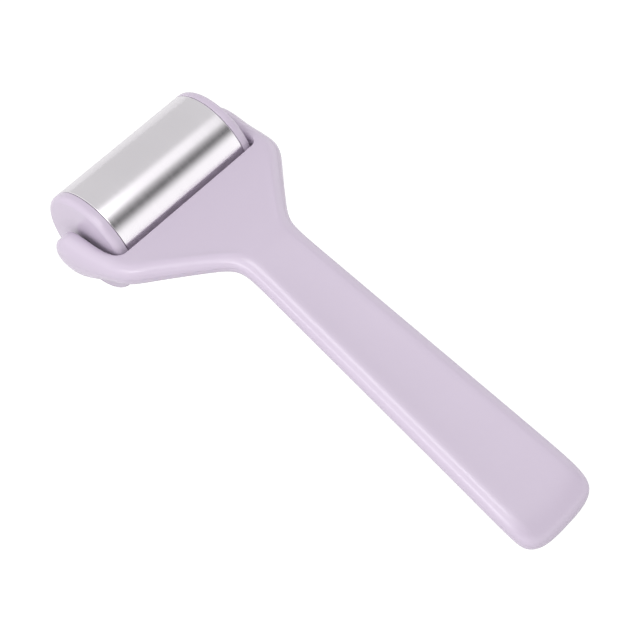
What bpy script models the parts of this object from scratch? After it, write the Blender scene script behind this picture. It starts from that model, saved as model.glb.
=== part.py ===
"""Seam roller: a steel-sleeved roller turning in a Y-shaped yoke with a flat handle.

Frame: +X along the roller's axle, +Y from the handle's heel towards the roller, +Z up.
The origin is on the table, under the middle of the tool's length and width.
The tool rests as it lies on a table: on its roller and on the heel of its handle.
"""
from collections import namedtuple
from math import cos, pi, radians, sin

import bmesh
import bpy
from mathutils import Vector

MM = 0.001

# Driving dimensions of the roller.
ROLLER_RADIUS = 16.0 * MM
SLEEVE_HALF_LENGTH = 22.9 * MM
SLEEVE_WALL = 1.2 * MM
SLEEVE_CHAMFER = 0.25 * MM
CAP_JOINT = 0.15 * MM
CAP_PROUD = 3.0 * MM
CAP_RIM_ROUNDING = 1.8 * MM
CAP_WALL = 2.5 * MM
CAP_END_WALL = 3.5 * MM
CAP_SPIGOT_LENGTH = 6.0 * MM
HUB_RADIUS = 6.5 * MM
BUSH_RADIUS = 3.6 * MM
CAP_LIP = 1.2 * MM
CAP_HOLE_GAP = 0.5 * MM
CORE_RADIUS = 9.0 * MM
AXLE_RADIUS = 2.0 * MM
AXLE_HALF_LENGTH = 30.2 * MM
AXLE_CHAMFER = 0.4 * MM
WASHER_RADIUS = 2.9 * MM
WASHER_THICKNESS = 0.4 * MM
RUNNING_GAP = 0.1 * MM
FIT_GAP = 0.2 * MM

# Driving dimensions of the yoke and handle.
OVERALL_LENGTH = 166.0 * MM
AXIS_Y = OVERALL_LENGTH / 2 - ROLLER_RADIUS
AXIS_Z = ROLLER_RADIUS
SLOT_BEHIND = 15.1 * MM
SLOT_HALF_WIDTH = 26.6 * MM
HANDLE_EDGE = 3.5 * MM
SLOT_EDGE = 0.6 * MM
ARM_INNER_EDGE = 2.0 * MM
SLOT_LEAN = 2.0 * MM
SLOT_CORNER_CREASE = 0.8
DISH_DEPTH = 0.7 * MM
SHELL_WALL = 1.5 * MM
PARTING_RISE = 0.4 * MM
PARTING_GAP = 0.2 * MM
SEAT_RADIUS = AXLE_RADIUS + FIT_GAP
SEAT_END_GAP = 0.3 * MM
SUBDIVISIONS = 1

# Driving dimensions of the shell screws.
SCREW_HEAD_RADIUS = 1.6 * MM
SCREW_HEAD_HEIGHT = 1.1 * MM
SCREW_HEAD_DEPTH = 0.5 * MM
SCREW_SHANK_RADIUS = 0.8 * MM
SCREW_LENGTH = 3.4 * MM
SCREW_TIP_SHARE = 0.3
SCREW_GAP = 0.2 * MM
SCREW_POST_RADIUS = 2.9 * MM
SCREW_POST_REACH = 12.0 * MM
SCREW_HOLE_DROP = 8.0 * MM
RECESS_DEPTH = 0.6 * MM
RECESS_REACH = 0.9 * MM
RECESS_WIDTH = 0.36 * MM

ROUND_SEGMENTS = 48
SMALL_SEGMENTS = 20
RIM_STEPS = 4
SHARP_ANGLE = radians(35)
MERGE_DISTANCE = 0.001 * MM

# How far the blocks that part the shells reach past the tool.
BLOCK_HALF_WIDTH = 45.0 * MM
BLOCK_TOP = 60.0 * MM
BLOCK_BEHIND_HEEL = 10.0 * MM

# One cross-section of the yoke and handle, from the heel to the slot.
# behind: distance behind the axle; half_width: to the outer side; top: height of the top
# face above the table; thickness: top to bottom; dish: share of the dish's full depth.
Station = namedtuple("Station", "behind half_width top thickness dish")
HANDLE = [
    Station(150.6 * MM, 13.1 * MM, 6.6 * MM, 7.4 * MM, 0.0),
    Station(143.0 * MM, 14.2 * MM, 8.8 * MM, 7.6 * MM, 0.5),
    Station(126.0 * MM, 13.4 * MM, 12.9 * MM, 7.2 * MM, 1.0),
    Station(104.0 * MM, 12.5 * MM, 18.1 * MM, 7.1 * MM, 1.0),
    Station(80.0 * MM, 11.5 * MM, 23.7 * MM, 6.9 * MM, 1.0),
    Station(60.0 * MM, 10.7 * MM, 28.4 * MM, 6.7 * MM, 0.6),
    Station(50.0 * MM, 10.2 * MM, 30.8 * MM, 6.6 * MM, 0.1),
    Station(44.2 * MM, 10.4 * MM, 32.2 * MM, 6.7 * MM, 0.0),
    Station(39.5 * MM, 14.1 * MM, 31.1 * MM, 6.9 * MM, 0.0),
    Station(34.0 * MM, 19.1 * MM, 29.7 * MM, 7.3 * MM, 0.0),
    Station(27.5 * MM, 25.0 * MM, 28.1 * MM, 7.8 * MM, 0.0),
    Station(21.2 * MM, 31.2 * MM, 26.6 * MM, 8.4 * MM, 0.0),
    Station(SLOT_BEHIND, 32.2 * MM, 25.2 * MM, 8.8 * MM, 0.0),
]

# One cross-section of an arm, from the slot to the tip.
# inner and outer: the arm's two sides, measured from the middle of the tool.
ArmStation = namedtuple("ArmStation", "behind inner outer top thickness edge")
ARM = [
    ArmStation(11.0 * MM, 26.6 * MM, 32.8 * MM, 24.0 * MM, 10.4 * MM, 3.4 * MM),
    ArmStation(6.5 * MM, 26.7 * MM, 33.3 * MM, 23.1 * MM, 12.8 * MM, 3.4 * MM),
    ArmStation(1.5 * MM, 26.8 * MM, 33.8 * MM, 23.2 * MM, 15.7 * MM, 3.4 * MM),
    ArmStation(-4.2 * MM, 26.9 * MM, 33.7 * MM, 22.1 * MM, 13.9 * MM, 3.0 * MM),
    ArmStation(-7.2 * MM, 27.7 * MM, 32.4 * MM, 18.4 * MM, 7.2 * MM, 1.8 * MM),
]

# Points along the heel's end: share of its half width, distance forward of its middle, and
# how far the end's bottom edge stands forward of its top edge.
HEEL_POINTS = [(0.0, 0.0, 0.0), (0.38, 0.0, 0.1 * MM), (0.74, 0.2 * MM, 0.9 * MM),
               (1.0, 1.7 * MM, 2.9 * MM)]

# Points along the slot's wall: share of its half width.
SLOT_POINTS = [1.0, 0.55, 0.0]

# Inner points across the top and bottom faces: share of the way to the side, and share of
# the dish's depth there.
FACE_POINTS = [(0.0, 1.0), (0.42, 0.75), (0.8, 0.15)]

# Inside of the hollow shells, from the heel to the yoke.
CAVITY_HEEL_BEHIND = 146.0 * MM
CAVITY_FRONT_BEHIND = 19.0 * MM
CAVITY_CORNER = 1.2 * MM

# The screws: distance behind the axle and distance from the middle plane.
SCREWS = {
    "screw_yoke_left": (24.0 * MM, -18.5 * MM),
    "screw_yoke_right": (24.0 * MM, 18.5 * MM),
    "screw_neck": (46.0 * MM, 0.0),
    "screw_grip": (92.0 * MM, 0.0),
    "screw_heel": (138.0 * MM, 0.0),
}

LAVENDER = (0.624, 0.545, 0.665)
STEEL = (0.72, 0.72, 0.73)
DARK_STEEL = (0.48, 0.48, 0.50)
ZINC = (0.62, 0.63, 0.64)
BEARING_GREY = (0.09, 0.09, 0.095)
NYLON = (0.90, 0.90, 0.88)


def clear_scene():
    for obj in list(bpy.data.objects):
        bpy.data.objects.remove(obj, do_unlink=True)


def material(name, color, roughness, metallic=0.0):
    made = bpy.data.materials.new(name)
    made.use_nodes = True
    shader = made.node_tree.nodes["Principled BSDF"]
    shader.inputs["Base Color"].default_value = (*color, 1.0)
    shader.inputs["Roughness"].default_value = roughness
    shader.inputs["Metallic"].default_value = metallic
    return made


def add_object(name, mesh, finish=None, parent=None, location=(0, 0, 0)):
    obj = bpy.data.objects.new(name, mesh)
    bpy.context.scene.collection.objects.link(obj)
    obj.location = location
    obj.parent = parent
    if finish is not None:
        mesh.materials.append(finish)
        mesh.shade_smooth()
        mesh.set_sharp_from_angle(angle=SHARP_ANGLE)
    return obj


def as_cutter(obj):
    obj.hide_render = True
    obj.display_type = "WIRE"
    return obj


def cut(obj, cutter, operation="DIFFERENCE"):
    boolean = obj.modifiers.new(cutter.name, "BOOLEAN")
    boolean.operation = operation
    boolean.object = cutter


def finished_mesh(bm, name):
    bmesh.ops.recalc_face_normals(bm, faces=bm.faces)
    mesh = bpy.data.meshes.new(name)
    bm.to_mesh(mesh)
    bm.free()
    return mesh


# ---- turned pieces -------------------------------------------------------------------

def turn_into(bm, profile, segments, axis, centre=(0, 0, 0)):
    """Spin a profile of (distance along axis, radius) points about axis through centre."""
    along = Vector(axis)
    outward = Vector((0, 0, 1)) if along.z == 0 else Vector((0, 1, 0))
    centre = Vector(centre)
    verts = [bm.verts.new(centre + along * run + outward * radius) for run, radius in profile]
    edges = [bm.edges.new(pair) for pair in zip(verts, verts[1:])]
    if profile[0][1] > 0:
        edges.append(bm.edges.new((verts[-1], verts[0])))
    bmesh.ops.spin(bm, geom=verts + edges, cent=centre, axis=along,
                   angle=2 * pi, steps=segments, use_merge=True)
    bmesh.ops.remove_doubles(bm, verts=bm.verts, dist=MERGE_DISTANCE)


def turned_mesh(name, profile, segments=ROUND_SEGMENTS, axis=(1, 0, 0)):
    bm = bmesh.new()
    turn_into(bm, profile, segments, axis)
    return finished_mesh(bm, name)


def arc(centre_run, centre_radius, radius, start, end, steps):
    """Points of a profile along an arc; angles in degrees, 0 along the axis, 90 outward."""
    angles = [radians(start + (end - start) * step / steps) for step in range(steps + 1)]
    return [(centre_run + radius * cos(a), centre_radius + radius * sin(a)) for a in angles]


# ---- yoke and handle -----------------------------------------------------------------

def mid_height(station):
    return station.top - station.thickness / 2


def edge_levels(reach, half_height, rounding):
    """(inset, height) of the five levels that round a side from its top to its bottom."""
    diagonal = sin(radians(45))
    shoulder = reach * (1 - diagonal)
    upper = half_height - rounding * (1 - diagonal)
    return [(reach, half_height), (shoulder, upper), (0.0, 0.0),
            (shoulder, -upper), (reach, -half_height)]


class Rim:
    """A point of the body's outline, with the five vertices that stand on it."""

    def __init__(self, x, behind, station, edge, full_round=True, lean=0.0):
        self.x = x
        self.behind = behind
        self.height = mid_height(station)
        self.half_height = station.thickness / 2
        self.edge = edge
        self.full_round = full_round
        self.lean = lean

    def place(self, side=1):
        """Where the point stands, or where its twin does on the tool's other side (-1)."""
        return Vector((side * self.x, AXIS_Y - self.behind))

    def stand(self, bm, before, after):
        """Make the vertices; before and after are the neighbouring places of the outline."""
        along = after - before
        outward = Vector((along.y, -along.x)).normalized()
        rounding = self.half_height if self.full_round else self.edge
        self.levels = []
        for inset, height in edge_levels(self.edge, self.half_height, rounding):
            x = max(self.x - outward.x * inset, 0.0) if self.x > 0 else 0.0
            depth = 0.5 - height / self.half_height / 2
            y = AXIS_Y - self.behind - outward.y * inset - self.lean * depth
            self.levels.append(bm.verts.new((x, y, self.height + height)))


def body_cage():
    """Control cage of the right half of the yoke and handle, open at the middle plane."""
    bm = bmesh.new()
    heel = HANDLE[0]
    slot = HANDLE[-1]
    heel_rims = [Rim(share * heel.half_width, heel.behind - forward, heel, HANDLE_EDGE, lean=-under)
                 for share, forward, under in HEEL_POINTS]
    side_rims = [heel_rims.pop()]
    side_rims += [Rim(s.half_width, s.behind, s, HANDLE_EDGE) for s in HANDLE[1:]]
    arm_outer = [Rim(s.outer, s.behind, s, s.edge) for s in ARM]
    arm_inner = [Rim(s.inner, s.behind, s, min(s.edge, ARM_INNER_EDGE), s is ARM[-1])
                 for s in ARM]
    slot_rims = [Rim(share * SLOT_HALF_WIDTH, SLOT_BEHIND, slot, SLOT_EDGE, False, SLOT_LEAN)
                 for share in SLOT_POINTS]
    outline = heel_rims + side_rims + arm_outer + arm_inner[::-1] + slot_rims
    places = [outline[1].place(-1)] + [rim.place() for rim in outline] + [outline[-2].place(-1)]
    for rim, before, after in zip(outline, places, places[2:]):
        rim.stand(bm, before, after)
    for rim, following in zip(outline, outline[1:]):
        for level in range(len(rim.levels) - 1):
            bm.faces.new((rim.levels[level], following.levels[level],
                          following.levels[level + 1], rim.levels[level + 1]))
    crease = bm.edges.layers.float.new("crease_edge")
    corner = slot_rims[0].levels
    for upper, lower in zip(corner, corner[1:]):
        bm.edges.get((upper, lower))[crease] = SLOT_CORNER_CREASE
    for level, side in ((0, 1), (-1, -1)):
        rows = [[rim.levels[level] for rim in heel_rims]]
        for station, side_rim in zip(HANDLE[1:-1], side_rims[1:-1]):
            rows.append(face_row(bm, station, side_rim.levels[level].co.x, side))
        rows.append([rim.levels[level] for rim in reversed(slot_rims)])
        for row, side_rim in zip(rows, side_rims):
            row.append(side_rim.levels[level])
        for row, following in zip(rows, rows[1:]):
            add_strip(bm, row, following)
        arm_sides = zip([slot_rims[0]] + arm_inner, [side_rims[-1]] + arm_outer)
        arm_rows = [[inner.levels[level], outer.levels[level]] for inner, outer in arm_sides]
        for row, following in zip(arm_rows, arm_rows[1:]):
            add_strip(bm, row, following)
    return finished_mesh(bm, "body_cage")


def face_row(bm, station, reach, side):
    """Inner vertices of one row of the top (side 1) or bottom (side -1) face."""
    row = []
    for share, dish in FACE_POINTS:
        sink = DISH_DEPTH * station.dish * dish if side > 0 else 0.0
        height = mid_height(station) + side * station.thickness / 2 - sink
        row.append(bm.verts.new((share * reach, AXIS_Y - station.behind, height)))
    return row


def add_strip(bm, row, following):
    for left in range(len(row) - 1):
        bm.faces.new((row[left], row[left + 1], following[left + 1], following[left]))


def add_body_modifiers(obj):
    mirror = obj.modifiers.new("halves", "MIRROR")
    mirror.merge_threshold = MERGE_DISTANCE
    smooth = obj.modifiers.new("smooth", "SUBSURF")
    smooth.levels = SUBDIVISIONS
    smooth.render_levels = SUBDIVISIONS


def parting_line():
    """(y, z) points of the surface where the two shells meet, from heel to arm tip."""
    line = [(AXIS_Y - s.behind, mid_height(s) + PARTING_RISE) for s in HANDLE + ARM]
    heel_y, heel_z = line[0]
    tip_z = line[-1][1]
    return [(heel_y - BLOCK_BEHIND_HEEL, heel_z)] + line + [(OVERALL_LENGTH, tip_z)]


def half_space(name, line, far_z):
    """A block between the parting line and the level far_z, wider than the tool."""
    bm = bmesh.new()
    outline = line + [(line[-1][0], far_z), (line[0][0], far_z)]
    face = bm.faces.new([bm.verts.new((-BLOCK_HALF_WIDTH, y, z)) for y, z in outline])
    side = bmesh.ops.extrude_face_region(bm, geom=[face])
    moved = [item for item in side["geom"] if isinstance(item, bmesh.types.BMVert)]
    bmesh.ops.translate(bm, verts=moved, vec=(2 * BLOCK_HALF_WIDTH, 0, 0))
    bmesh.ops.triangulate(bm, faces=bm.faces)
    return as_cutter(add_object(name, finished_mesh(bm, name)))


def shell_height(behind, share):
    """Height in the handle at a distance behind the axle: share 0 is the bottom, 1 the top."""
    for rear, front in zip(HANDLE, HANDLE[1:]):
        if rear.behind >= behind >= front.behind:
            blend = (rear.behind - behind) / (rear.behind - front.behind)
            top = rear.top + (front.top - rear.top) * blend
            thickness = rear.thickness + (front.thickness - rear.thickness) * blend
            return top - thickness * (1 - share)
    raise ValueError("no handle at %.4f" % behind)


def cavity_cutter(posts):
    """The hollow inside the two shells, with the screw posts left standing in it."""
    bm = bmesh.new()
    rings = []
    inner = [s for s in HANDLE if CAVITY_FRONT_BEHIND < s.behind < CAVITY_HEEL_BEHIND]
    rear = inner[0]._replace(behind=CAVITY_HEEL_BEHIND, half_width=HANDLE[0].half_width,
                             top=shell_height(CAVITY_HEEL_BEHIND, 1))
    front = inner[-1]._replace(behind=CAVITY_FRONT_BEHIND, top=shell_height(CAVITY_FRONT_BEHIND, 1))
    for station in [rear] + inner + [front]:
        wide = station.half_width - SHELL_WALL - CAVITY_CORNER
        narrow = wide - CAVITY_CORNER
        high = station.thickness / 2 - SHELL_WALL
        y = AXIS_Y - station.behind
        middle = mid_height(station)
        sink = DISH_DEPTH * station.dish
        points = [(narrow, high), (0, high - sink), (-narrow, high), (-wide, 0),
                  (-narrow, -high), (narrow, -high), (wide, 0)]
        rings.append([bm.verts.new((x, y, middle + z)) for x, z in points])
    for ring, following in zip(rings, rings[1:]):
        for index in range(len(ring)):
            bm.faces.new((ring[index - 1], ring[index], following[index], following[index - 1]))
    bm.faces.new(rings[0])
    bm.faces.new(rings[-1])
    bmesh.ops.triangulate(bm, faces=bm.faces)
    cavity = as_cutter(add_object("cavity_cutter", finished_mesh(bm, "cavity_cutter")))
    cut(cavity, posts)
    return cavity


def screw_base(behind):
    """Height of the bottom of a screw's head."""
    return shell_height(behind, 0) + SCREW_HEAD_DEPTH


def screw_profile(gap, drop):
    """(height, radius) points of a screw, grown by gap and reaching drop below its head."""
    head_top = SCREW_HEAD_HEIGHT + gap
    tip = SCREW_HEAD_HEIGHT + SCREW_LENGTH + gap
    head = SCREW_HEAD_RADIUS + gap
    shank = SCREW_SHANK_RADIUS + gap
    return [(-drop, 0.0), (-drop, head), (head_top, head), (head_top, shank),
            (tip - shank, shank), (tip, SCREW_TIP_SHARE * shank), (tip, 0.0)]


def screw_spot_cutter(name, profile):
    """One mesh with a turned body at each screw's place."""
    bm = bmesh.new()
    for behind, x in SCREWS.values():
        centre = (x, AXIS_Y - behind, screw_base(behind))
        turn_into(bm, profile, SMALL_SEGMENTS, (0, 0, 1), centre)
    return as_cutter(add_object(name, finished_mesh(bm, name)))


def axle_seat_cutter():
    end = AXLE_HALF_LENGTH + SEAT_END_GAP
    profile = [(-end, 0.0), (-end, SEAT_RADIUS), (end, SEAT_RADIUS), (end, 0.0)]
    mesh = turned_mesh("axle_seat_cutter", profile, SMALL_SEGMENTS)
    return as_cutter(add_object("axle_seat_cutter", mesh, location=(0, AXIS_Y, AXIS_Z)))


def make_shells(finish):
    reach = SCREW_POST_REACH
    posts = screw_spot_cutter("post_cutter", [(-reach, 0.0), (-reach, SCREW_POST_RADIUS),
                                              (reach, SCREW_POST_RADIUS), (reach, 0.0)])
    hole = screw_profile(SCREW_GAP, SCREW_HOLE_DROP)
    holes = screw_spot_cutter("screw_hole_cutter", hole)
    cavity = cavity_cutter(posts)
    seat = axle_seat_cutter()
    line = parting_line()
    half_gap = PARTING_GAP / 2
    above = half_space("above_parting", [(y, z + half_gap) for y, z in line], BLOCK_TOP)
    below = half_space("below_parting", [(y, z - half_gap) for y, z in line], 0.0)
    for name, side in (("upper_shell", above), ("lower_shell", below)):
        shell = add_object(name, body_cage(), finish)
        add_body_modifiers(shell)
        cut(shell, side, "INTERSECT")
        cut(shell, cavity)
        cut(shell, seat)
        cut(shell, holes)


# ---- roller --------------------------------------------------------------------------

CAP_FACE = SLEEVE_HALF_LENGTH + CAP_JOINT + CAP_PROUD
BUSH_SEAT = CAP_FACE - CAP_LIP
SPIGOT_END = SLEEVE_HALF_LENGTH - CAP_SPIGOT_LENGTH
SLEEVE_BORE = ROLLER_RADIUS - SLEEVE_WALL


def mirror_profile(profile, side):
    """The same profile on the left (side -1) or the right (side 1) of the roller."""
    return [(side * run, radius) for run, radius in profile]


def sleeve_profile():
    end = SLEEVE_HALF_LENGTH
    chamfer = SLEEVE_CHAMFER
    return [(-end, SLEEVE_BORE), (-end, ROLLER_RADIUS - chamfer), (-end + chamfer, ROLLER_RADIUS),
            (end - chamfer, ROLLER_RADIUS), (end, ROLLER_RADIUS - chamfer), (end, SLEEVE_BORE)]


def cap_profile():
    rim = CAP_RIM_ROUNDING
    joint = SLEEVE_HALF_LENGTH + CAP_JOINT
    spigot = SLEEVE_BORE - FIT_GAP
    bore = BUSH_RADIUS + FIT_GAP
    hole = AXLE_RADIUS + CAP_HOLE_GAP
    web = CAP_FACE - CAP_END_WALL
    rounded = arc(CAP_FACE - rim, ROLLER_RADIUS - rim, rim, 90, 0, RIM_STEPS)
    return ([(SPIGOT_END, spigot), (joint, spigot), (joint, ROLLER_RADIUS)] + rounded
            + [(CAP_FACE, hole), (BUSH_SEAT, hole), (BUSH_SEAT, bore), (SPIGOT_END, bore),
               (SPIGOT_END, HUB_RADIUS), (web, HUB_RADIUS), (web, spigot - CAP_WALL),
               (SPIGOT_END, spigot - CAP_WALL)])


def bush_profile():
    bore = AXLE_RADIUS + RUNNING_GAP
    end = BUSH_SEAT - FIT_GAP
    return [(SPIGOT_END, bore), (SPIGOT_END, BUSH_RADIUS), (end, BUSH_RADIUS), (end, bore)]


def washer_profile():
    inner = AXLE_RADIUS + RUNNING_GAP
    start = CAP_FACE + RUNNING_GAP
    end = start + WASHER_THICKNESS
    return [(start, inner), (start, WASHER_RADIUS), (end, WASHER_RADIUS), (end, inner)]


def core_profile():
    end = SPIGOT_END - FIT_GAP
    bore = AXLE_RADIUS + CAP_HOLE_GAP
    return [(-end, bore), (-end, CORE_RADIUS), (end, CORE_RADIUS), (end, bore)]


def axle_profile():
    end = AXLE_HALF_LENGTH
    thin = AXLE_RADIUS - AXLE_CHAMFER
    return [(-end, 0.0), (-end, thin), (-end + AXLE_CHAMFER, AXLE_RADIUS),
            (end - AXLE_CHAMFER, AXLE_RADIUS), (end, thin), (end, 0.0)]


def make_roller(finishes):
    spin_axis = bpy.data.objects.new("roller_axis", None)
    bpy.context.scene.collection.objects.link(spin_axis)
    spin_axis.location = (0, AXIS_Y, AXIS_Z)
    sleeve = turned_mesh("steel_sleeve", sleeve_profile())
    add_object("steel_sleeve", sleeve, finishes["sleeve"], spin_axis)
    core = turned_mesh("core_tube", core_profile(), SMALL_SEGMENTS)
    add_object("core_tube", core, finishes["core"], spin_axis)
    for label, side in (("left", -1), ("right", 1)):
        cap = turned_mesh("end_cap_" + label, mirror_profile(cap_profile(), side))
        add_object("end_cap_" + label, cap, finishes["cap"], spin_axis)
        bush = turned_mesh("bush_" + label, mirror_profile(bush_profile(), side), SMALL_SEGMENTS)
        add_object("bush_" + label, bush, finishes["bush"], spin_axis)


def make_axle(finishes):
    centre = (0, AXIS_Y, AXIS_Z)
    axle = turned_mesh("axle_pin", axle_profile(), SMALL_SEGMENTS)
    add_object("axle_pin", axle, finishes["axle"], location=centre)
    for label, side in (("left", -1), ("right", 1)):
        name = "thrust_washer_" + label
        washer = turned_mesh(name, mirror_profile(washer_profile(), side), SMALL_SEGMENTS)
        add_object(name, washer, finishes["washer"], location=centre)


# ---- screws --------------------------------------------------------------------------

def recess_cutter(centre):
    """A cross-shaped bit that cuts a screw's drive recess from below."""
    bm = bmesh.new()
    reach = RECESS_REACH
    half = RECESS_WIDTH / 2
    quarter = [(reach, -half), (reach, half), (half, half)]
    outline = []
    for turn in range(4):
        c, s = round(cos(turn * pi / 2)), round(sin(turn * pi / 2))
        outline += [(c * x - s * y, s * x + c * y) for x, y in quarter]
    start = centre[2] - RECESS_DEPTH
    face = bm.faces.new([bm.verts.new((centre[0] + x, centre[1] + y, start)) for x, y in outline])
    side = bmesh.ops.extrude_face_region(bm, geom=[face])
    moved = [item for item in side["geom"] if isinstance(item, bmesh.types.BMVert)]
    bmesh.ops.translate(bm, verts=moved, vec=(0, 0, 2 * RECESS_DEPTH))
    return as_cutter(add_object("recess_cutter", finished_mesh(bm, "recess_cutter")))


def make_screws(finish):
    mesh = turned_mesh("screw", screw_profile(0.0, 0.0), SMALL_SEGMENTS, (0, 0, 1))
    for name, (behind, x) in SCREWS.items():
        centre = (x, AXIS_Y - behind, screw_base(behind))
        screw = add_object(name, mesh.copy(), finish, location=centre)
        cut(screw, recess_cutter(centre))


def main():
    clear_scene()
    make_shells(material("lavender_shell", LAVENDER, 0.42))
    bearing = material("bearing_plastic", BEARING_GREY, 0.45)
    make_roller({
        "sleeve": material("stainless_sleeve", STEEL, 0.28, 1.0),
        "cap": material("lavender_cap", LAVENDER, 0.42),
        "core": material("nylon_core", NYLON, 0.6),
        "bush": bearing,
    })
    make_axle({
        "axle": material("axle_steel", DARK_STEEL, 0.3, 1.0),
        "washer": bearing,
    })
    make_screws(material("screw_zinc", ZINC, 0.35, 1.0))


main()
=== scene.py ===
"""Looks of the seam roller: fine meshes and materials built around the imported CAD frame.

Frame: +X along the roller's axle, +Y from the handle's heel towards the roller, +Z up.
The body of the tool is a smooth control cage, cut into an upper and a lower shell along a
parting line, as the CAD shells are, but with a finer surface and a hairline seam.
"""

from collections import namedtuple
from math import cos, pi, radians, sin

import bmesh
import bpy
from mathutils import Matrix, Vector


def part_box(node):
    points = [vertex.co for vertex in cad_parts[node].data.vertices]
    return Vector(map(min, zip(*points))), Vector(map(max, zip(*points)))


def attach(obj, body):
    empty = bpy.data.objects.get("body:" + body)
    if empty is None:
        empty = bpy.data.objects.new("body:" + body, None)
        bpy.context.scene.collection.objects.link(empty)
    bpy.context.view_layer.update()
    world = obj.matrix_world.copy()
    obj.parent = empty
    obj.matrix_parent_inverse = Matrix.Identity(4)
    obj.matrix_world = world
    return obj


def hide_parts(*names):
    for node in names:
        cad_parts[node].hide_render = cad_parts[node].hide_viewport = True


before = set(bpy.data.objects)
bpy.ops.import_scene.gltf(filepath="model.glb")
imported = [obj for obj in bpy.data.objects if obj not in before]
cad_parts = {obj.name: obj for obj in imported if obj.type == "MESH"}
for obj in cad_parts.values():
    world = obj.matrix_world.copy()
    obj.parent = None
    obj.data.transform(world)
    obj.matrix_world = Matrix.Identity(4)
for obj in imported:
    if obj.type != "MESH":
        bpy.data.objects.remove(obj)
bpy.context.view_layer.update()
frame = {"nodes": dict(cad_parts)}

MM = 0.001

# ---- sizes that come from the frame ------------------------------------------------------

SLEEVE_LOW, SLEEVE_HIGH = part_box("steel_sleeve")
CAP_LOW, CAP_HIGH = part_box("end_cap_right")
BUSH_LOW, BUSH_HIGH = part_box("bush_right")
AXLE_LOW, AXLE_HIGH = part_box("axle_pin")

ROLLER_RADIUS = (SLEEVE_HIGH.z - SLEEVE_LOW.z) / 2
SLEEVE_HALF_LENGTH = SLEEVE_HIGH.x
AXIS_Y = (SLEEVE_LOW.y + SLEEVE_HIGH.y) / 2
AXIS_Z = (SLEEVE_LOW.z + SLEEVE_HIGH.z) / 2
CAP_FACE = CAP_HIGH.x
SPIGOT_END = CAP_LOW.x
BUSH_END = BUSH_HIGH.x
BUSH_RADIUS = (BUSH_HIGH.z - BUSH_LOW.z) / 2
AXLE_RADIUS = (AXLE_HIGH.z - AXLE_LOW.z) / 2
AXLE_HALF_LENGTH = AXLE_HIGH.x

# ---- sizes of the roller's visible pieces ------------------------------------------------

SLEEVE_WALL = 1.2 * MM
SLEEVE_ROUNDING = 0.22 * MM
CAP_JOINT = 0.15 * MM
CAP_RIM_ROUNDING = 1.8 * MM
CAP_EDGE_ROUNDING = 0.15 * MM
CAP_WALL = 2.5 * MM
CAP_END_WALL = 3.5 * MM
HUB_RADIUS = 6.5 * MM
CAP_HOLE_GAP = 0.5 * MM
FIT_GAP = 0.2 * MM

# ---- sizes of the yoke and handle --------------------------------------------------------

SLOT_BEHIND = 15.1 * MM
SLOT_HALF_WIDTH = 26.6 * MM
HANDLE_EDGE = 3.5 * MM
SLOT_EDGE = 0.35 * MM
ARM_INNER_EDGE = 2.0 * MM
SLOT_LEAN = 2.0 * MM
SLOT_CORNER_CREASE = 0.8
DISH_DEPTH = 0.7 * MM
SHELL_WALL = 1.5 * MM
PARTING_RISE = 0.4 * MM
PARTING_GAP = 0.04 * MM
SEAT_GAP = 0.2 * MM
SEAT_END_GAP = 0.3 * MM
SUBDIVISIONS = 3

# ---- sizes of the shell screws -----------------------------------------------------------

SCREW_HEAD_RADIUS = 1.6 * MM
SCREW_HEAD_HEIGHT = 1.1 * MM
SCREW_HEAD_ROUNDING = 0.35 * MM
SCREW_HEAD_DEPTH = 0.5 * MM
SCREW_SHANK_RADIUS = 0.8 * MM
SCREW_LENGTH = 3.4 * MM
SCREW_TIP_SHARE = 0.3
SCREW_GAP = 0.2 * MM
SCREW_POST_RADIUS = 2.9 * MM
SCREW_POST_REACH = 12.0 * MM
SCREW_HOLE_DROP = 8.0 * MM
RECESS_DEPTH = 0.6 * MM
RECESS_REACH = 0.9 * MM
RECESS_WIDTH = 0.36 * MM

ROUND_SEGMENTS = 192
SMALL_SEGMENTS = 48
SHARP_ANGLE = radians(35)
MERGE_DISTANCE = 0.001 * MM

# How far the blocks that part the shells reach past the tool.
BLOCK_HALF_WIDTH = 45.0 * MM
BLOCK_TOP = 60.0 * MM
BLOCK_PAST_ENDS = 10.0 * MM

# One cross-section of the yoke and handle, from the heel to the slot.
# behind: distance behind the axle; half_width: to the outer side; top: height of the top
# face above the table; thickness: top to bottom; dish: share of the dish's full depth.
Station = namedtuple("Station", "behind half_width top thickness dish")
HANDLE = [
    Station(150.6 * MM, 13.1 * MM, 6.6 * MM, 7.4 * MM, 0.0),
    Station(143.0 * MM, 14.2 * MM, 8.8 * MM, 7.6 * MM, 0.5),
    Station(126.0 * MM, 13.4 * MM, 12.9 * MM, 7.2 * MM, 1.0),
    Station(104.0 * MM, 12.5 * MM, 18.1 * MM, 7.1 * MM, 1.0),
    Station(80.0 * MM, 11.5 * MM, 23.7 * MM, 6.9 * MM, 1.0),
    Station(60.0 * MM, 10.7 * MM, 28.4 * MM, 6.7 * MM, 0.6),
    Station(50.0 * MM, 10.2 * MM, 30.8 * MM, 6.6 * MM, 0.1),
    Station(44.2 * MM, 10.4 * MM, 32.2 * MM, 6.7 * MM, 0.0),
    Station(39.5 * MM, 14.1 * MM, 31.1 * MM, 6.9 * MM, 0.0),
    Station(34.0 * MM, 19.1 * MM, 29.7 * MM, 7.3 * MM, 0.0),
    Station(27.5 * MM, 25.0 * MM, 28.1 * MM, 7.8 * MM, 0.0),
    Station(21.2 * MM, 31.2 * MM, 26.6 * MM, 8.4 * MM, 0.0),
    Station(SLOT_BEHIND, 32.2 * MM, 25.2 * MM, 8.8 * MM, 0.0),
]

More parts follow.
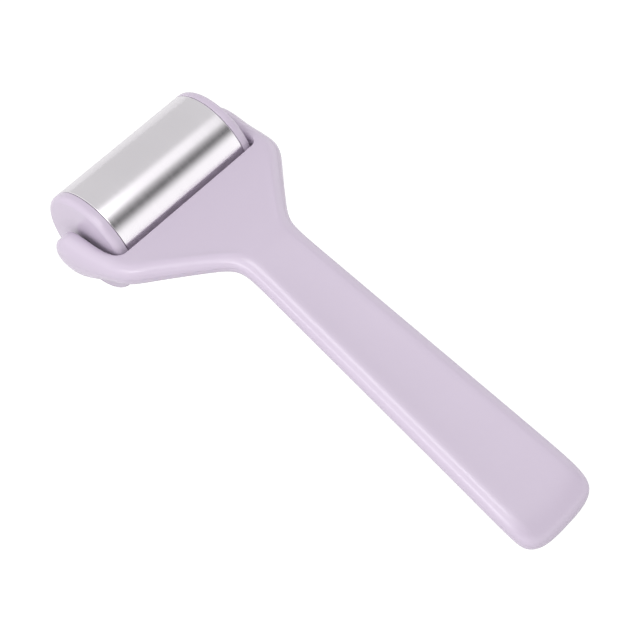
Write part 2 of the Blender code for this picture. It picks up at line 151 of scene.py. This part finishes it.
# One cross-section of an arm, from the slot to the tip.
# inner and outer: the arm's two sides, measured from the middle of the tool.
ArmStation = namedtuple("ArmStation", "behind inner outer top thickness edge")
ARM = [
    ArmStation(11.0 * MM, 26.6 * MM, 32.8 * MM, 24.0 * MM, 10.4 * MM, 3.4 * MM),
    ArmStation(6.5 * MM, 26.7 * MM, 33.3 * MM, 23.1 * MM, 12.8 * MM, 3.4 * MM),
    ArmStation(1.5 * MM, 26.8 * MM, 33.8 * MM, 23.2 * MM, 15.7 * MM, 3.4 * MM),
    ArmStation(-4.2 * MM, 26.9 * MM, 33.7 * MM, 22.1 * MM, 13.9 * MM, 3.0 * MM),
    ArmStation(-7.2 * MM, 27.7 * MM, 32.4 * MM, 18.4 * MM, 7.2 * MM, 1.8 * MM),
]

# Points along the heel's end: share of its half width, distance forward of its middle, and
# how far the end's bottom edge stands forward of its top edge.
HEEL_POINTS = [(0.0, 0.0, 0.0), (0.38, 0.0, 0.1 * MM), (0.74, 0.2 * MM, 0.9 * MM),
               (1.0, 1.7 * MM, 2.9 * MM)]

# Points along the slot's wall: share of its half width.
SLOT_POINTS = [1.0, 0.55, 0.0]

# Inner points across the top and bottom faces: share of the way to the side, and share of
# the dish's depth there.
FACE_POINTS = [(0.0, 1.0), (0.42, 0.75), (0.8, 0.15)]

# Inside of the hollow shells, from the heel to the yoke.
CAVITY_HEEL_BEHIND = 146.0 * MM
CAVITY_FRONT_BEHIND = 19.0 * MM
CAVITY_CORNER = 1.2 * MM

# The screws: distance behind the axle and distance from the middle plane.
SCREWS = {
    "screw_yoke_left": (24.0 * MM, -18.5 * MM),
    "screw_yoke_right": (24.0 * MM, 18.5 * MM),
    "screw_neck": (46.0 * MM, 0.0),
    "screw_grip": (92.0 * MM, 0.0),
    "screw_heel": (138.0 * MM, 0.0),
}


# ---- mesh helpers ------------------------------------------------------------------------

def link(name, mesh):
    obj = bpy.data.objects.new(name, mesh)
    bpy.context.scene.collection.objects.link(obj)
    return obj


def finished_mesh(bm, name):
    bmesh.ops.recalc_face_normals(bm, faces=bm.faces)
    mesh = bpy.data.meshes.new(name)
    bm.to_mesh(mesh)
    bm.free()
    return mesh


def cut(obj, cutter, operation="DIFFERENCE"):
    boolean = obj.modifiers.new(cutter.name, "BOOLEAN")
    boolean.operation = operation
    boolean.object = cutter


def apply_modifiers(obj):
    """Replace the object's mesh with its evaluated one."""
    graph = bpy.context.evaluated_depsgraph_get()
    mesh = bpy.data.meshes.new_from_object(obj.evaluated_get(graph), depsgraph=graph)
    obj.modifiers.clear()
    obj.data = mesh


def remove(*objects):
    for obj in objects:
        bpy.data.objects.remove(obj, do_unlink=True)


def show(obj, finish, body, node):
    """Give a finished piece its material and tie it to the frame."""
    obj.data.materials.clear()
    obj.data.materials.append(finish)
    obj.data.shade_smooth()
    obj.data.set_sharp_from_angle(angle=SHARP_ANGLE)
    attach(obj, body)
    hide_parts(node)


def turn_into(bm, profile, segments, axis, centre=(0, 0, 0)):
    """Spin a profile of (distance along axis, radius) points about axis through centre."""
    along = Vector(axis)
    outward = Vector((0, 0, 1)) if along.z == 0 else Vector((0, 1, 0))
    centre = Vector(centre)
    verts = [bm.verts.new(centre + along * run + outward * radius) for run, radius in profile]
    edges = [bm.edges.new(pair) for pair in zip(verts, verts[1:])]
    if profile[0][1] > 0:
        edges.append(bm.edges.new((verts[-1], verts[0])))
    bmesh.ops.spin(bm, geom=verts + edges, cent=centre, axis=along,
                   angle=2 * pi, steps=segments, use_merge=True)
    bmesh.ops.remove_doubles(bm, verts=bm.verts, dist=MERGE_DISTANCE)


def turned_mesh(name, profile, segments=ROUND_SEGMENTS, axis=(1, 0, 0), centre=None):
    bm = bmesh.new()
    turn_into(bm, profile, segments, axis, centre or (0, AXIS_Y, AXIS_Z))
    return finished_mesh(bm, name)


def arc(centre_run, centre_radius, radius, start, end, steps):
    """Points of a profile along an arc; angles in degrees, 0 along the axis, 90 outward."""
    angles = [radians(start + (end - start) * step / steps) for step in range(steps + 1)]
    return [(centre_run + radius * cos(a), centre_radius + radius * sin(a)) for a in angles]


# ---- yoke and handle ---------------------------------------------------------------------

def mid_height(station):
    return station.top - station.thickness / 2


def edge_levels(reach, half_height, rounding):
    """(inset, height) of the five levels that round a side from its top to its bottom."""
    diagonal = sin(radians(45))
    shoulder = reach * (1 - diagonal)
    upper = half_height - rounding * (1 - diagonal)
    return [(reach, half_height), (shoulder, upper), (0.0, 0.0),
            (shoulder, -upper), (reach, -half_height)]


class Rim:
    """A point of the body's outline, with the five vertices that stand on it."""

    def __init__(self, x, behind, station, edge, full_round=True, lean=0.0):
        self.x = x
        self.behind = behind
        self.height = mid_height(station)
        self.half_height = station.thickness / 2
        self.edge = edge
        self.full_round = full_round
        self.lean = lean

    def place(self, side=1):
        """Where the point stands, or where its twin does on the tool's other side (-1)."""
        return Vector((side * self.x, AXIS_Y - self.behind))

    def stand(self, bm, before, after):
        """Make the vertices; before and after are the neighbouring places of the outline."""
        along = after - before
        outward = Vector((along.y, -along.x)).normalized()
        rounding = self.half_height if self.full_round else self.edge
        self.levels = []
        for inset, height in edge_levels(self.edge, self.half_height, rounding):
            x = max(self.x - outward.x * inset, 0.0) if self.x > 0 else 0.0
            depth = 0.5 - height / self.half_height / 2
            y = AXIS_Y - self.behind - outward.y * inset - self.lean * depth
            self.levels.append(bm.verts.new((x, y, self.height + height)))


def body_cage():
    """Control cage of the right half of the yoke and handle, open at the middle plane."""
    bm = bmesh.new()
    heel = HANDLE[0]
    slot = HANDLE[-1]
    heel_rims = [Rim(share * heel.half_width, heel.behind - forward, heel, HANDLE_EDGE, lean=-under)
                 for share, forward, under in HEEL_POINTS]
    side_rims = [heel_rims.pop()]
    side_rims += [Rim(s.half_width, s.behind, s, HANDLE_EDGE) for s in HANDLE[1:]]
    arm_outer = [Rim(s.outer, s.behind, s, s.edge) for s in ARM]
    arm_inner = [Rim(s.inner, s.behind, s, min(s.edge, ARM_INNER_EDGE), s is ARM[-1])
                 for s in ARM]
    slot_rims = [Rim(share * SLOT_HALF_WIDTH, SLOT_BEHIND, slot, SLOT_EDGE, False, SLOT_LEAN)
                 for share in SLOT_POINTS]
    outline = heel_rims + side_rims + arm_outer + arm_inner[::-1] + slot_rims
    places = [outline[1].place(-1)] + [rim.place() for rim in outline] + [outline[-2].place(-1)]
    for rim, before, after in zip(outline, places, places[2:]):
        rim.stand(bm, before, after)
    for rim, following in zip(outline, outline[1:]):
        for level in range(len(rim.levels) - 1):
            bm.faces.new((rim.levels[level], following.levels[level],
                          following.levels[level + 1], rim.levels[level + 1]))
    crease = bm.edges.layers.float.new("crease_edge")
    corner = slot_rims[0].levels
    for upper, lower in zip(corner, corner[1:]):
        bm.edges.get((upper, lower))[crease] = SLOT_CORNER_CREASE
    for level, side in ((0, 1), (-1, -1)):
        rows = [[rim.levels[level] for rim in heel_rims]]
        for station, side_rim in zip(HANDLE[1:-1], side_rims[1:-1]):
            rows.append(face_row(bm, station, side_rim.levels[level].co.x, side))
        rows.append([rim.levels[level] for rim in reversed(slot_rims)])
        for row, side_rim in zip(rows, side_rims):
            row.append(side_rim.levels[level])
        for row, following in zip(rows, rows[1:]):
            add_strip(bm, row, following)
        arm_sides = zip([slot_rims[0]] + arm_inner, [side_rims[-1]] + arm_outer)
        arm_rows = [[inner.levels[level], outer.levels[level]] for inner, outer in arm_sides]
        for row, following in zip(arm_rows, arm_rows[1:]):
            add_strip(bm, row, following)
    return finished_mesh(bm, "body_cage")


def face_row(bm, station, reach, side):
    """Inner vertices of one row of the top (side 1) or bottom (side -1) face."""
    row = []
    for share, dish in FACE_POINTS:
        sink = DISH_DEPTH * station.dish * dish if side > 0 else 0.0
        height = mid_height(station) + side * station.thickness / 2 - sink
        row.append(bm.verts.new((share * reach, AXIS_Y - station.behind, height)))
    return row


def add_strip(bm, row, following):
    for left in range(len(row) - 1):
        bm.faces.new((row[left], row[left + 1], following[left + 1], following[left]))


def add_body_modifiers(obj):
    mirror = obj.modifiers.new("halves", "MIRROR")
    mirror.merge_threshold = MERGE_DISTANCE
    smooth = obj.modifiers.new("smooth", "SUBSURF")
    smooth.levels = SUBDIVISIONS
    smooth.render_levels = SUBDIVISIONS


def parting_line():
    """(y, z) points of the surface where the two shells meet, from heel to arm tip."""
    line = [(AXIS_Y - s.behind, mid_height(s) + PARTING_RISE) for s in HANDLE + ARM]
    heel_y, heel_z = line[0]
    tip_y, tip_z = line[-1]
    return [(heel_y - BLOCK_PAST_ENDS, heel_z)] + line + [(tip_y + BLOCK_PAST_ENDS, tip_z)]


def half_space(name, line, far_z):
    """A block between the parting line and the level far_z, wider than the tool."""
    bm = bmesh.new()
    outline = line + [(line[-1][0], far_z), (line[0][0], far_z)]
    face = bm.faces.new([bm.verts.new((-BLOCK_HALF_WIDTH, y, z)) for y, z in outline])
    side = bmesh.ops.extrude_face_region(bm, geom=[face])
    moved = [item for item in side["geom"] if isinstance(item, bmesh.types.BMVert)]
    bmesh.ops.translate(bm, verts=moved, vec=(2 * BLOCK_HALF_WIDTH, 0, 0))
    bmesh.ops.triangulate(bm, faces=bm.faces)
    return link(name, finished_mesh(bm, name))


def shell_height(behind, share):
    """Height in the handle at a distance behind the axle: share 0 is the bottom, 1 the top."""
    for rear, front in zip(HANDLE, HANDLE[1:]):
        if rear.behind >= behind >= front.behind:
            blend = (rear.behind - behind) / (rear.behind - front.behind)
            top = rear.top + (front.top - rear.top) * blend
            thickness = rear.thickness + (front.thickness - rear.thickness) * blend
            return top - thickness * (1 - share)
    raise ValueError("no handle at %.4f" % behind)


def cavity_cutter(posts):
    """The hollow inside the two shells, with the screw posts left standing in it."""
    bm = bmesh.new()
    rings = []
    inner = [s for s in HANDLE if CAVITY_FRONT_BEHIND < s.behind < CAVITY_HEEL_BEHIND]
    rear = inner[0]._replace(behind=CAVITY_HEEL_BEHIND, half_width=HANDLE[0].half_width,
                             top=shell_height(CAVITY_HEEL_BEHIND, 1))
    front = inner[-1]._replace(behind=CAVITY_FRONT_BEHIND, top=shell_height(CAVITY_FRONT_BEHIND, 1))
    for station in [rear] + inner + [front]:
        wide = station.half_width - SHELL_WALL - CAVITY_CORNER
        narrow = wide - CAVITY_CORNER
        high = station.thickness / 2 - SHELL_WALL
        y = AXIS_Y - station.behind
        middle = mid_height(station)
        sink = DISH_DEPTH * station.dish
        points = [(narrow, high), (0, high - sink), (-narrow, high), (-wide, 0),
                  (-narrow, -high), (narrow, -high), (wide, 0)]
        rings.append([bm.verts.new((x, y, middle + z)) for x, z in points])
    for ring, following in zip(rings, rings[1:]):
        for index in range(len(ring)):
            bm.faces.new((ring[index - 1], ring[index], following[index], following[index - 1]))
    bm.faces.new(rings[0])
    bm.faces.new(rings[-1])
    bmesh.ops.triangulate(bm, faces=bm.faces)
    cavity = link("cavity_cutter", finished_mesh(bm, "cavity_cutter"))
    cut(cavity, posts)
    return cavity


def screw_base(behind):
    """Height of the bottom of a screw's head."""
    return shell_height(behind, 0) + SCREW_HEAD_DEPTH


def hole_profile():
    """(height, radius) points of the counterbore and pilot hole of a screw."""
    head_top = SCREW_HEAD_HEIGHT + SCREW_GAP
    tip = SCREW_HEAD_HEIGHT + SCREW_LENGTH + SCREW_GAP
    head = SCREW_HEAD_RADIUS + SCREW_GAP
    shank = SCREW_SHANK_RADIUS + SCREW_GAP
    return [(-SCREW_HOLE_DROP, 0.0), (-SCREW_HOLE_DROP, head), (head_top, head),
            (head_top, shank), (tip - shank, shank), (tip, SCREW_TIP_SHARE * shank), (tip, 0.0)]


def screw_spot_cutter(name, profile):
    """One mesh with a turned body at each screw's place."""
    bm = bmesh.new()
    for behind, x in SCREWS.values():
        centre = (x, AXIS_Y - behind, screw_base(behind))
        turn_into(bm, profile, SMALL_SEGMENTS, (0, 0, 1), centre)
    return link(name, finished_mesh(bm, name))


def axle_seat_cutter():
    end = AXLE_HALF_LENGTH + SEAT_END_GAP
    radius = AXLE_RADIUS + SEAT_GAP
    profile = [(-end, 0.0), (-end, radius), (end, radius), (end, 0.0)]
    return link("axle_seat_cutter", turned_mesh("axle_seat_cutter", profile, SMALL_SEGMENTS))


def make_shells(finish):
    reach = SCREW_POST_REACH
    posts = screw_spot_cutter("post_cutter", [(-reach, 0.0), (-reach, SCREW_POST_RADIUS),
                                              (reach, SCREW_POST_RADIUS), (reach, 0.0)])
    holes = screw_spot_cutter("screw_hole_cutter", hole_profile())
    cavity = cavity_cutter(posts)
    seat = axle_seat_cutter()
    line = parting_line()
    half_gap = PARTING_GAP / 2
    above = half_space("above_parting", [(y, z + half_gap) for y, z in line], BLOCK_TOP)
    below = half_space("below_parting", [(y, z - half_gap) for y, z in line], 0.0)
    for name, side in (("upper_shell", above), ("lower_shell", below)):
        shell = link(name + "_fine", body_cage())
        add_body_modifiers(shell)
        for cutter, operation in ((side, "INTERSECT"), (cavity, "DIFFERENCE"),
                                  (seat, "DIFFERENCE"), (holes, "DIFFERENCE")):
            cut(shell, cutter, operation)
        apply_modifiers(shell)
        show(shell, finish, "handle", name)
    remove(posts, holes, cavity, seat, above, below)


# ---- roller ------------------------------------------------------------------------------

SLEEVE_BORE = ROLLER_RADIUS - SLEEVE_WALL


def mirror_profile(profile, side):
    """The same profile on the left (side -1) or the right (side 1) of the roller."""
    return [(side * run, radius) for run, radius in profile]


def sleeve_profile():
    end = SLEEVE_HALF_LENGTH
    edge = SLEEVE_ROUNDING
    right = arc(end - edge, ROLLER_RADIUS - edge, edge, 90, 0, 4)
    left = [(-run, radius) for run, radius in reversed(right)]
    return [(-end, SLEEVE_BORE)] + left + right + [(end, SLEEVE_BORE)]


def cap_profile():
    rim = CAP_RIM_ROUNDING
    edge = CAP_EDGE_ROUNDING
    joint = SLEEVE_HALF_LENGTH + CAP_JOINT
    spigot = SLEEVE_BORE - FIT_GAP
    bore = BUSH_RADIUS + FIT_GAP
    seat = BUSH_END + FIT_GAP
    hole = AXLE_RADIUS + CAP_HOLE_GAP
    web = CAP_FACE - CAP_END_WALL
    lip = arc(joint + edge, ROLLER_RADIUS - edge, edge, 180, 90, 4)
    rounded = arc(CAP_FACE - rim, ROLLER_RADIUS - rim, rim, 90, 0, 12)
    return ([(SPIGOT_END, spigot), (joint, spigot)] + lip + rounded
            + [(CAP_FACE, hole), (seat, hole), (seat, bore), (SPIGOT_END, bore),
               (SPIGOT_END, HUB_RADIUS), (web, HUB_RADIUS), (web, spigot - CAP_WALL),
               (SPIGOT_END, spigot - CAP_WALL)])


def make_roller(sleeve_finish, cap_finish):
    sleeve = link("steel_sleeve_fine", turned_mesh("steel_sleeve_fine", sleeve_profile()))
    show(sleeve, sleeve_finish, "roller", "steel_sleeve")
    for label, side in (("left", -1), ("right", 1)):
        name = "end_cap_" + label
        cap = link(name + "_fine", turned_mesh(name, mirror_profile(cap_profile(), side)))
        show(cap, cap_finish, "roller", name)


# ---- screws ------------------------------------------------------------------------------

def recess_cutter(centre):
    """A cross-shaped bit that cuts a screw's drive recess from below."""
    bm = bmesh.new()
    reach = RECESS_REACH
    half = RECESS_WIDTH / 2
    quarter = [(reach, -half), (reach, half), (half, half)]
    outline = []
    for turn in range(4):
        c, s = round(cos(turn * pi / 2)), round(sin(turn * pi / 2))
        outline += [(c * x - s * y, s * x + c * y) for x, y in quarter]
    start = centre[2] - RECESS_DEPTH
    face = bm.faces.new([bm.verts.new((centre[0] + x, centre[1] + y, start)) for x, y in outline])
    side = bmesh.ops.extrude_face_region(bm, geom=[face])
    moved = [item for item in side["geom"] if isinstance(item, bmesh.types.BMVert)]
    bmesh.ops.translate(bm, verts=moved, vec=(0, 0, 2 * RECESS_DEPTH))
    return link("recess_cutter", finished_mesh(bm, "recess_cutter"))


def screw_profile():
    """(height, radius) points of a pan-head screw, its head at the bottom."""
    edge = SCREW_HEAD_ROUNDING
    tip = SCREW_HEAD_HEIGHT + SCREW_LENGTH
    rounded = [(-run, radius) for run, radius in
               arc(-edge, SCREW_HEAD_RADIUS - edge, edge, 0, 90, 6)]
    return ([(0.0, 0.0)] + rounded
            + [(SCREW_HEAD_HEIGHT, SCREW_HEAD_RADIUS), (SCREW_HEAD_HEIGHT, SCREW_SHANK_RADIUS),
               (tip - SCREW_SHANK_RADIUS, SCREW_SHANK_RADIUS),
               (tip, SCREW_TIP_SHARE * SCREW_SHANK_RADIUS), (tip, 0.0)])


def make_screws(finish):
    for name, (behind, x) in SCREWS.items():
        centre = (x, AXIS_Y - behind, screw_base(behind))
        mesh = turned_mesh(name, screw_profile(), SMALL_SEGMENTS, (0, 0, 1), centre)
        screw = link(name + "_fine", mesh)
        bit = recess_cutter(centre)
        cut(screw, bit)
        apply_modifiers(screw)
        remove(bit)
        show(screw, finish, "handle", name)


# ---- materials ---------------------------------------------------------------------------

class Finish:
    """A Principled material with a small toolbox for its procedural nodes."""

    def __init__(self, name, **values):
        self.material = bpy.data.materials.new(name)
        self.material.use_nodes = True
        self.nodes = self.material.node_tree.nodes
        self.links = self.material.node_tree.links
        self.shader = self.nodes["Principled BSDF"]
        for label, value in values.items():
            self.shader.inputs[label.replace("_", " ")].default_value = value
        self.place = self.nodes.new("ShaderNodeTexCoord").outputs["Object"]

    def noise(self, scale, stretch=(1, 1, 1), detail=3.0, roughness=0.55):
        """Noise in cycles per metre, squeezed along each axis by stretch."""
        mapping = self.nodes.new("ShaderNodeMapping")
        mapping.inputs["Scale"].default_value = stretch
        texture = self.nodes.new("ShaderNodeTexNoise")
        texture.inputs["Scale"].default_value = scale
        texture.inputs["Detail"].default_value = detail
        texture.inputs["Roughness"].default_value = roughness
        self.links.new(self.place, mapping.inputs["Vector"])
        self.links.new(mapping.outputs["Vector"], texture.inputs["Vector"])
        return texture.outputs["Fac"]

    def spread(self, value, low, high, start=0.35, end=0.65):
        """Map the noise's middle range to low..high."""
        node = self.nodes.new("ShaderNodeMapRange")
        node.inputs["From Min"].default_value = start
        node.inputs["From Max"].default_value = end
        node.inputs["To Min"].default_value = low
        node.inputs["To Max"].default_value = high
        self.links.new(value, node.inputs["Value"])
        return node.outputs["Result"]

    def blend_color(self, factor, first, second):
        node = self.nodes.new("ShaderNodeMix")
        node.data_type = "RGBA"
        node.inputs["A"].default_value = (*first, 1.0)
        node.inputs["B"].default_value = (*second, 1.0)
        self.links.new(factor, node.inputs["Factor"])
        return node.outputs["Result"]

    def bump(self, *layers):
        """Stack (height, depth in metres) layers into the shader's normal."""
        normal = None
        for height, depth in layers:
            node = self.nodes.new("ShaderNodeBump")
            node.inputs["Strength"].default_value = 1.0
            node.inputs["Distance"].default_value = depth
            self.links.new(height, node.inputs["Height"])
            if normal is not None:
                self.links.new(normal, node.inputs["Normal"])
            normal = node.outputs["Normal"]
        self.links.new(normal, self.shader.inputs["Normal"])

    def set(self, label, output):
        self.links.new(output, self.shader.inputs[label])


LAVENDER = (0.480, 0.420, 0.512)
LAVENDER_DEEP = (0.472, 0.412, 0.504)


def lavender_plastic(name):
    """Moulded satin plastic: an even colour with a faint cloudiness and a very fine grain."""
    finish = Finish(name, Metallic=0.0, IOR=1.5, Sheen_Weight=0.15, Sheen_Roughness=0.25)
    cloud = finish.spread(finish.noise(35.0, detail=2.0), 0.0, 1.0)
    finish.set("Base Color", finish.blend_color(cloud, LAVENDER, LAVENDER_DEEP))
    grain = finish.noise(2600.0, detail=2.0)
    finish.set("Roughness", finish.spread(grain, 0.13, 0.17))
    finish.bump((finish.noise(90.0, detail=1.0), 0.008 * MM), (grain, 0.0003 * MM))
    return finish.material


def ground_steel(name, color, roughness, lines):
    """Steel turned or ground around X: fine rings, which spread highlights along the axis."""
    finish = Finish(name, Metallic=1.0, Anisotropic=0.3, Anisotropic_Rotation=0.25)
    tangent = finish.nodes.new("ShaderNodeTangent")
    tangent.direction_type = "RADIAL"
    tangent.axis = "X"
    finish.links.new(tangent.outputs["Tangent"], finish.shader.inputs["Tangent"])
    rings = finish.noise(lines, stretch=(1.0, 0.01, 0.01), detail=4.0, roughness=0.7)
    cloud = finish.spread(finish.noise(60.0, stretch=(1.0, 0.4, 0.4), detail=2.0), 0.0, 1.0)
    darker = tuple(0.97 * channel for channel in color)
    finish.set("Base Color", finish.blend_color(cloud, color, darker))
    finish.set("Roughness", finish.spread(rings, roughness - 0.03, roughness + 0.03))
    finish.bump((rings, 0.0004 * MM))
    return finish.material


def plated_steel(name):
    finish = Finish(name, Metallic=1.0)
    cloud = finish.spread(finish.noise(900.0), 0.0, 1.0)
    finish.set("Base Color", finish.blend_color(cloud, (0.66, 0.67, 0.68), (0.58, 0.58, 0.57)))
    finish.set("Roughness", finish.spread(finish.noise(1800.0), 0.24, 0.36))
    return finish.material


def inner_plastic(name, color, cloudy_color):
    finish = Finish(name, Metallic=0.0)
    cloud = finish.spread(finish.noise(120.0), 0.0, 1.0)
    finish.set("Base Color", finish.blend_color(cloud, color, cloudy_color))
    finish.set("Roughness", finish.spread(finish.noise(1500.0), 0.42, 0.52))
    return finish.material


def finish_inner_nodes():
    """The hidden CAD pieces keep their shape and get finished materials; the bushes and thrust washers
    are near-black as painted shade where they show in the gap between each arm and its end cap.
    """
    nylon = inner_plastic("natural_nylon", (0.86, 0.85, 0.81), (0.82, 0.81, 0.77))
    # Near-black bearing plastic: painted shade, so the bushes and washers read as the dark gap between
    # arm and cap.
    bearing_painted_shade = inner_plastic("bearing_plastic", (0.09, 0.09, 0.095), (0.075, 0.075, 0.08))
    axle = ground_steel("axle_steel_fine", (0.56, 0.56, 0.57), 0.22, 3000.0)
    nodes = frame["nodes"]
    finishes = {"core_tube": nylon, "bush_left": bearing_painted_shade, "bush_right": bearing_painted_shade,
                "thrust_washer_left": bearing_painted_shade, "thrust_washer_right": bearing_painted_shade,
                "axle_pin": axle}
    for name, finish in finishes.items():
        nodes[name].data.materials.clear()
        nodes[name].data.materials.append(finish)


# ---- studio ------------------------------------------------------------------------------

FLOOR_RADIUS = 2.5
FLOOR_GAP = 0.02 * MM
FLOOR_COLOR = (0.70, 0.70, 0.70, 1.0)
BOUNCE_GLOW = 0.05
SEEN_GLOW = 0.62


def floor_sheet(name, drop, glow):
    bm = bmesh.new()
    bmesh.ops.create_circle(bm, cap_ends=True, segments=96, radius=FLOOR_RADIUS)
    sheet = link(name, finished_mesh(bm, name))
    sheet.location.z = -drop
    finish = Finish(name, Roughness=0.9)
    finish.shader.inputs["Base Color"].default_value = FLOOR_COLOR
    finish.shader.inputs["Specular IOR Level"].default_value = 0.0
    finish.shader.inputs["Emission Color"].default_value = (1.0, 1.0, 1.0, 1.0)
    finish.shader.inputs["Emission Strength"].default_value = glow
    sheet.data.materials.append(finish.material)
    return sheet


def make_floor():
    """A white sweep: one sheet lights the tool from below, a paler one is what is seen."""
    bounce = floor_sheet("floor_bounce", FLOOR_GAP, BOUNCE_GLOW)
    bounce.visible_camera = False
    seen = floor_sheet("floor_seen", 2 * FLOOR_GAP, SEEN_GLOW)
    seen.visible_diffuse = False
    seen.visible_glossy = False
    seen.visible_shadow = False


def direction(azimuth, elevation):
    """Unit vector towards a compass direction: azimuth 0 is +Y, 90 is +X."""
    a, e = radians(azimuth), radians(elevation)
    return Vector((sin(a) * cos(e), cos(a) * cos(e), sin(e)))


BOX_TINT = (1.0, 0.975, 1.0)
BOX_DISTANCE = 0.9


def soft_box(name, aim, azimuth, elevation, width, height, radiance):
    """A rectangular light that faces aim; width is across, height is upwards."""
    light = bpy.data.lights.new(name, "AREA")
    light.shape = "RECTANGLE"
    light.size = width
    light.size_y = height
    light.energy = radiance * pi * width * height
    light.color = BOX_TINT
    lamp = link(name, light)
    towards = direction(azimuth, elevation)
    lamp.location = Vector(aim) + towards * BOX_DISTANCE
    lamp.rotation_euler = towards.to_track_quat("Z", "Y").to_euler()
    lamp.visible_camera = False
    return lamp


def make_lights():
    soft_box("box_overhead", aim=(-0.22, -0.08, 0), azimuth=0, elevation=90, width=0.26,
             height=0.42, radiance=3.0)
    soft_box("box_left", aim=(0, 0, AXIS_Z), azimuth=-84, elevation=30, width=0.60,
             height=0.16, radiance=4.0)


# Brightness of the tent around X: an even front, a dark gap behind the top and a bright back
# wall. Where the gap starts and ends is in degrees, up from the front horizon over the top.
TENT_FRONT = 0.80
TENT_GAP = 0.15
TENT_BACK = 1.30
GAP_START = (105, 127)
GAP_END = (125, 149)

# A strip of light along X in the tent's top: where it starts and ends, in degrees of the same
# arc, and where its left and right stretches fade out, as shares of the way to the side.
STRIP_START = (78, 92)
STRIP_END = (102, 114)
STRIP_STRETCHES = [((0.0, 0.24), 1.3), ((0.55, 0.64), 0.50)]

# Glowing side walls: azimuth, radiance, and how close to that direction they start.
GLOW_ELEVATION = 5
GLOWS = [(-60, 0.8, 0.3), (80, 0.8, 0.7)]


def make_world():
    """A pale tent with soft bands along X and a brighter wall at the left."""
    world = bpy.data.worlds.new("studio_tent")
    bpy.context.scene.world = world
    world.use_nodes = True
    nodes = world.node_tree.nodes
    links = world.node_tree.links

    def math_node(operation, first, second):
        node = nodes.new("ShaderNodeMath")
        node.operation = operation
        for socket, value in zip(node.inputs, (first, second)):
            if isinstance(value, (int, float)):
                socket.default_value = value
            else:
                links.new(value, socket)
        return node.outputs["Value"]

    def map_range(value, source, target):
        node = nodes.new("ShaderNodeMapRange")
        node.interpolation_type = "SMOOTHSTEP"
        node.inputs["From Min"].default_value, node.inputs["From Max"].default_value = source
        node.inputs["To Min"].default_value, node.inputs["To Max"].default_value = target
        links.new(value, node.inputs["Value"])
        return node.outputs["Result"]

    place = nodes.new("ShaderNodeTexCoord")
    split = nodes.new("ShaderNodeSeparateXYZ")
    links.new(place.outputs["Generated"], split.inputs["Vector"])
    angle = math_node("ARCTAN2", split.outputs["Z"], split.outputs["Y"])
    degrees_up = math_node("MULTIPLY", angle, 180 / pi)

    total = math_node("ADD", map_range(degrees_up, GAP_START, (TENT_FRONT, TENT_GAP)),
                      map_range(degrees_up, GAP_END, (0.0, TENT_BACK - TENT_GAP)))

    strip = math_node("SUBTRACT", map_range(degrees_up, STRIP_START, (0.0, 1.0)),
                      map_range(degrees_up, STRIP_END, (0.0, 1.0)))
    for fade, radiance in STRIP_STRETCHES:
        stretch = map_range(split.outputs["X"], fade, (radiance, 0.0))
        total = math_node("ADD", total, math_node("MULTIPLY", strip, stretch))

    for azimuth, radiance, start in GLOWS:
        side = nodes.new("ShaderNodeVectorMath")
        side.operation = "DOT_PRODUCT"
        side.inputs[1].default_value = direction(azimuth, GLOW_ELEVATION)
        links.new(place.outputs["Generated"], side.inputs[0])
        glow = map_range(side.outputs["Value"], (start, 1.0), (0.0, radiance))
        total = math_node("ADD", total, glow)

    background = nodes["Background"]
    background.inputs["Color"].default_value = (1.0, 0.995, 1.0, 1.0)
    links.new(total, background.inputs["Strength"])


# ---- camera ------------------------------------------------------------------------------

CAMERA_AIM = Vector((-1.8 * MM, 1.5 * MM, AXIS_Z))
CAMERA_AZIMUTH = -45.2
CAMERA_ELEVATION = 56.2
CAMERA_ROLL = -2.8
CAMERA_DISTANCE = 512.7 * MM
CAMERA_LENS = 106.9
CAMERA_SENSOR = 36.0


def make_camera():
    """A short telephoto view from behind and to the left of the handle."""
    towards = direction(180 - CAMERA_AZIMUTH, CAMERA_ELEVATION)
    level_right = Vector((cos(radians(CAMERA_AZIMUTH)), sin(radians(CAMERA_AZIMUTH)), 0))
    turn = Matrix.Rotation(radians(CAMERA_ROLL), 3, towards)
    right = turn @ level_right
    up = towards.cross(right)
    rotation = Matrix((right, up, towards)).transposed()
    data = bpy.data.cameras.new("camera")
    data.lens = CAMERA_LENS
    data.sensor_width = CAMERA_SENSOR
    data.clip_start = 0.01
    camera = link("camera", data)
    camera.matrix_world = Matrix.Translation(CAMERA_AIM + towards * CAMERA_DISTANCE) @ rotation.to_4x4()
    bpy.context.scene.camera = camera


def main():
    plastic = lavender_plastic("lavender_satin")
    make_shells(plastic)
    make_roller(ground_steel("stainless_turned", (0.77, 0.745, 0.775), 0.19, 2500.0), plastic)
    make_screws(plated_steel("screw_zinc_plate"))
    finish_inner_nodes()
    make_floor()
    make_lights()
    make_world()
    make_camera()
    bpy.context.scene.view_settings.view_transform = "Standard"


main()
